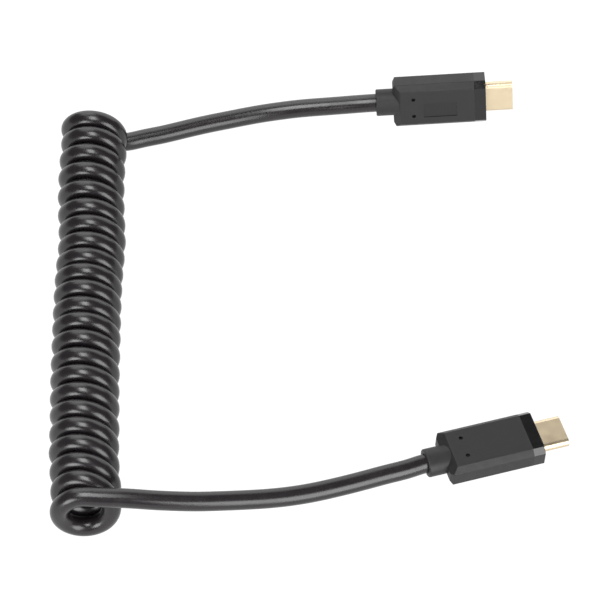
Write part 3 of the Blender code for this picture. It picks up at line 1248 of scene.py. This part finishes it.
@dataclass
class PlugPair:
    """Both plugs: each piece is modelled once, and then set at both ends of the cord."""

    def build(self) -> dict[str, list[Object]]:
        """Model and place both plugs.

        Returns:
            The pieces of each plug, by the plug's name.
        """
        housing = Housing()
        parts = {
            "housing": (
                housing.model(), "plug_housing", (MATTE_HOUSING, POLISHED_BAND, LABEL_FLOOR)
            ),
            "shell": (Shell().model(), "plug_shell", (GOLD_PLATE,)),
            "insulator": (Insulator().model(), "plug_insulator", (BLACK_INSULATOR,)),
            "contacts": (Contacts().model(), "plug_shell", (BRIGHT_CONTACT,)),
        }
        ends = {"near": (NEAR_POSE, LabelSide.LOWER), "far": (FAR_POSE, LabelSide.UPPER)}
        placed = {}
        for end, (pose, label_side) in ends.items():
            placed[end] = []
            for kind, (part, slot, finishes) in parts.items():
                piece = part.copy(f"{end}_plug_{kind}")
                piece.dress(*finishes)
                if kind == "housing":
                    housing.add_label(piece, label_side)
                    housing.polish_front(piece)
                piece.smooth()
                node = f"{end}_{kind}"
                nodes = [node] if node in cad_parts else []
                placed[end].append(piece.place(pose.matrix(), slot, *nodes))
                log.info("built %s", piece.item.name)
        for part, _, _ in parts.values():
            part.discard()
        return placed


# Studio
@dataclass
class SoftBox:
    """A soft light or a lit card that hangs round the table and faces the cable.

    Attributes:
        name: The light's name.
        azimuth: Its direction from the cable, in degrees from the right, turning left.
        elevation: Its height above the table, in degrees.
        distance: Its distance in metres.
        width: Its width in metres.
        height: Its height in metres.
        brightness: How bright its face is, where white paper is 1.
        aim: The point that it faces, in metres.
    """

    name: str
    azimuth: float
    elevation: float
    distance: float
    width: float
    height: float
    brightness: float
    aim: Point = (0.0, 0.0, 0.0)

    def build(self) -> None:
        """Hang the light."""
        turn, rise = math.radians(self.azimuth), math.radians(self.elevation)
        away = Vector(
            (math.cos(turn) * math.cos(rise), math.sin(turn) * math.cos(rise), math.sin(rise))
        )
        spin = away.to_track_quat("Z", "Y")
        bpy.ops.object.light_add(
            type="AREA",
            location=Vector(self.aim) + away * self.distance,
            rotation=spin.to_euler(),
        )
        light = bpy.context.object
        light.name = self.name
        light.visible_camera = False
        light.data.shape = "RECTANGLE"
        light.data.size = self.width
        light.data.size_y = self.height
        light.data.energy = self.brightness * math.pi * self.width * self.height


@dataclass
class Studio:
    """A plain white table under soft lights, in a dim room.

    Attributes:
        floor_size: Length of the floor's sides in metres.
        floor_colour: The floor's own colour.
        floor_roughness: The floor's roughness.
        floor_glow: How brightly the floor shines by itself, where white paper is 1.
        room_light: How bright the room is on all sides.
        boxes: The lights and cards.
    """

    floor_size: float = 6.0
    floor_colour: Colour = (0.05, 0.05, 0.05)
    floor_roughness: float = 0.9
    floor_glow: float = 1.0
    room_light: float = 0.14
    boxes: tuple[SoftBox, ...] = (
        SoftBox("box_over_coil", 180.0, 78.6, 0.69, 0.5, 0.25, 9.4, (0.0, -0.13, 0.0)),
        SoftBox("low_left_box", -127.0, 18.0, 0.7, 0.28, 0.32, 9.0),
        SoftBox("front_right_box", -59.0, 22.0, 0.6, 0.34, 0.48, 6.8),
        SoftBox("back_card", 80.0, 21.0, 1.0, 1.8, 0.8, 1.7),
        SoftBox("back_left_card", 118.0, 47.0, 0.9, 0.6, 0.5, 2.0),
    )

    def build(self) -> None:
        """Lay the floor, hang the lights and set the room's own light."""
        bpy.ops.mesh.primitive_plane_add(size=self.floor_size, location=(0.0, 0.0, 0.0))
        floor = bpy.context.object
        floor.name = "studio_floor"
        floor.data.materials.append(self._paper())
        for box in self.boxes:
            box.build()
        world = bpy.data.worlds.new("studio_room")
        world.use_nodes = True
        background = world.node_tree.nodes["Background"]
        background.inputs["Color"].default_value = WHITE
        background.inputs["Strength"].default_value = self.room_light
        bpy.context.scene.world = world
        bpy.context.scene.view_settings.view_transform = "Standard"

    def _paper(self) -> Material:
        """Make the floor's matt white material, whose own glow hides the shadows."""
        material = bpy.data.materials.new("studio_paper")
        material.use_nodes = True
        shader = material.node_tree.nodes["Principled BSDF"]
        shader.inputs[Socket.COLOUR.value].default_value = (*self.floor_colour, 1.0)
        shader.inputs[Socket.ROUGHNESS.value].default_value = self.floor_roughness
        shader.inputs[Socket.GLOW_COLOUR.value].default_value = WHITE
        shader.inputs[Socket.GLOW.value].default_value = self.floor_glow
        return material


def main() -> None:
    """Build the camera, the cord, both plugs and the studio."""
    logging.basicConfig(level=logging.INFO, format="%(message)s")
    StudioCamera().build()
    cord = Cord()
    item = cord.build()
    plugs = PlugPair().build()
    length = cord.declare()
    log.info("cord of %.3f m", length)
    Studio().build()


if __name__ == "__main__":
    main()
